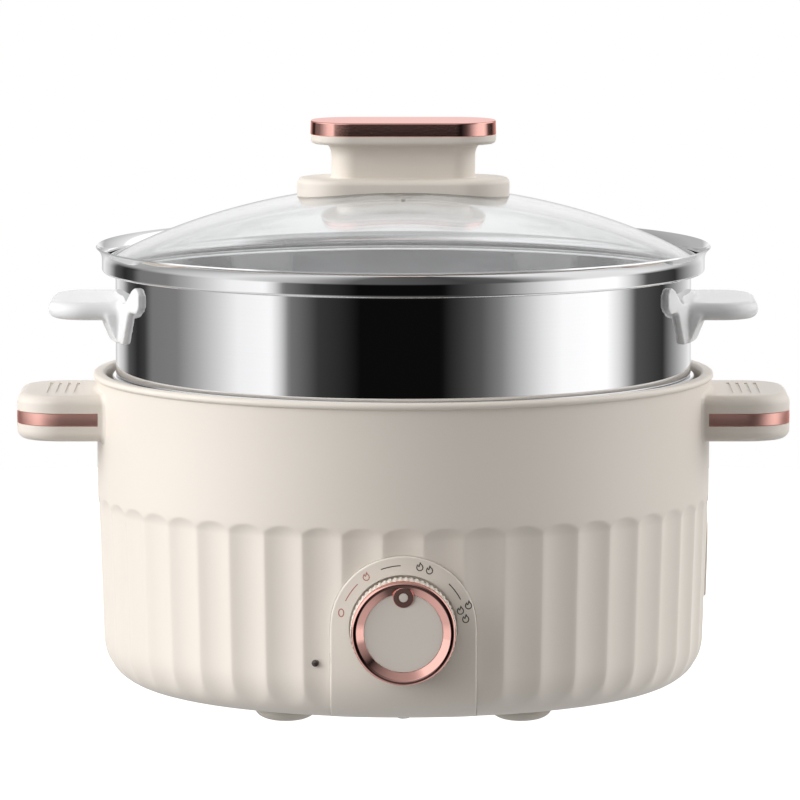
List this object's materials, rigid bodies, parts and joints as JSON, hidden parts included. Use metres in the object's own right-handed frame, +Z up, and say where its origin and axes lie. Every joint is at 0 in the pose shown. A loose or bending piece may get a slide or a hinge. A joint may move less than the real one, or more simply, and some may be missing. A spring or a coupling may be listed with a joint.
{
  "type": "electric hot pot",
  "caption": "Round electric hot pot with a fluted shell, control knob, side handles, inner pot, lift-off steamer and domed glass lid with a bar handle.",
  "frame": {"origin": "on the pot's vertical axis, in the plane its feet stand on", "axes": "+Z up; -Y to the front, where the control knob is; +X to the right seen from the front, through a side handle"},
  "size_m": [0.3604, 0.3033, 0.269],
  "materials": {
    "cream_plastic": "satin",
    "cream_plastic_matte": "matte",
    "foot_rubber": "matte",
    "rose_gold": "polished rose gold plating",
    "polished_steel": "polished stainless steel",
    "white_plastic": "satin",
    "plated_steel": "plain",
    "cast_aluminium": "cast",
    "heater_sheath": "oxidised",
    "dark_plastic": "matte",
    "amber_lens": "translucent",
    "brass_pins": "nickel plated",
    "clear_glass": "tempered clear glass"
  },
  "bodies": {
    "base": {"outer_shell": "cream_plastic", "control_panel": "cream_plastic", "base_plate": "cream_plastic_matte", "front_left_foot": "foot_rubber", "front_right_foot": "foot_rubber", "rear_left_foot": "foot_rubber", "rear_right_foot": "foot_rubber", "base_screws": "plated_steel", "rotary_switch": "dark_plastic", "indicator_lens": "amber_lens", "indicator_lamp": "amber_lens", "power_inlet": "cream_plastic", "inlet_pins": "brass_pins", "right_side_handle": "cream_plastic", "left_side_handle": "cream_plastic", "right_handle_trim": "rose_gold", "left_handle_trim": "rose_gold", "handle_screws": "plated_steel", "inner_pot": "polished_steel", "pot_stand": "plated_steel", "heat_spreader": "cast_aluminium", "heating_tube": "heater_sheath", "thermostat": "plated_steel", "clamp_bar": "plated_steel", "thermal_fuse": "dark_plastic"},
    "dial": {"dial_body": "cream_plastic", "dial_ring": "rose_gold", "dial_disc": "cream_plastic", "dial_spindle": "plated_steel"},
    "steamer": {"steamer_basket": "polished_steel", "right_steamer_handle": "white_plastic", "left_steamer_handle": "white_plastic", "steamer_rivets": "polished_steel"},
    "lid": {"lid_glass": "clear_glass", "lid_rim": "polished_steel", "lid_handle_base": "cream_plastic", "lid_handle_grip": "cream_plastic", "lid_handle_cap": "rose_gold", "lid_washer": "plated_steel", "lid_screw": "plated_steel"}
  },
  "joints": [
    {"name": "dial_turn", "type": "hinge", "parent": "base", "child": "dial", "pos_m": [0, -0.15, 0.05], "axis": [0, -1, 0], "range_deg": [-73, 77]},
    {"name": "steamer_lift", "type": "slide", "parent": "base", "child": "steamer", "axis": [0, 0, 1], "range_m": [0, 0.12]},
    {"name": "lid_lift", "type": "slide", "parent": "steamer", "child": "lid", "axis": [0, 0, 1], "range_m": [0, 0.1]}
  ]
}
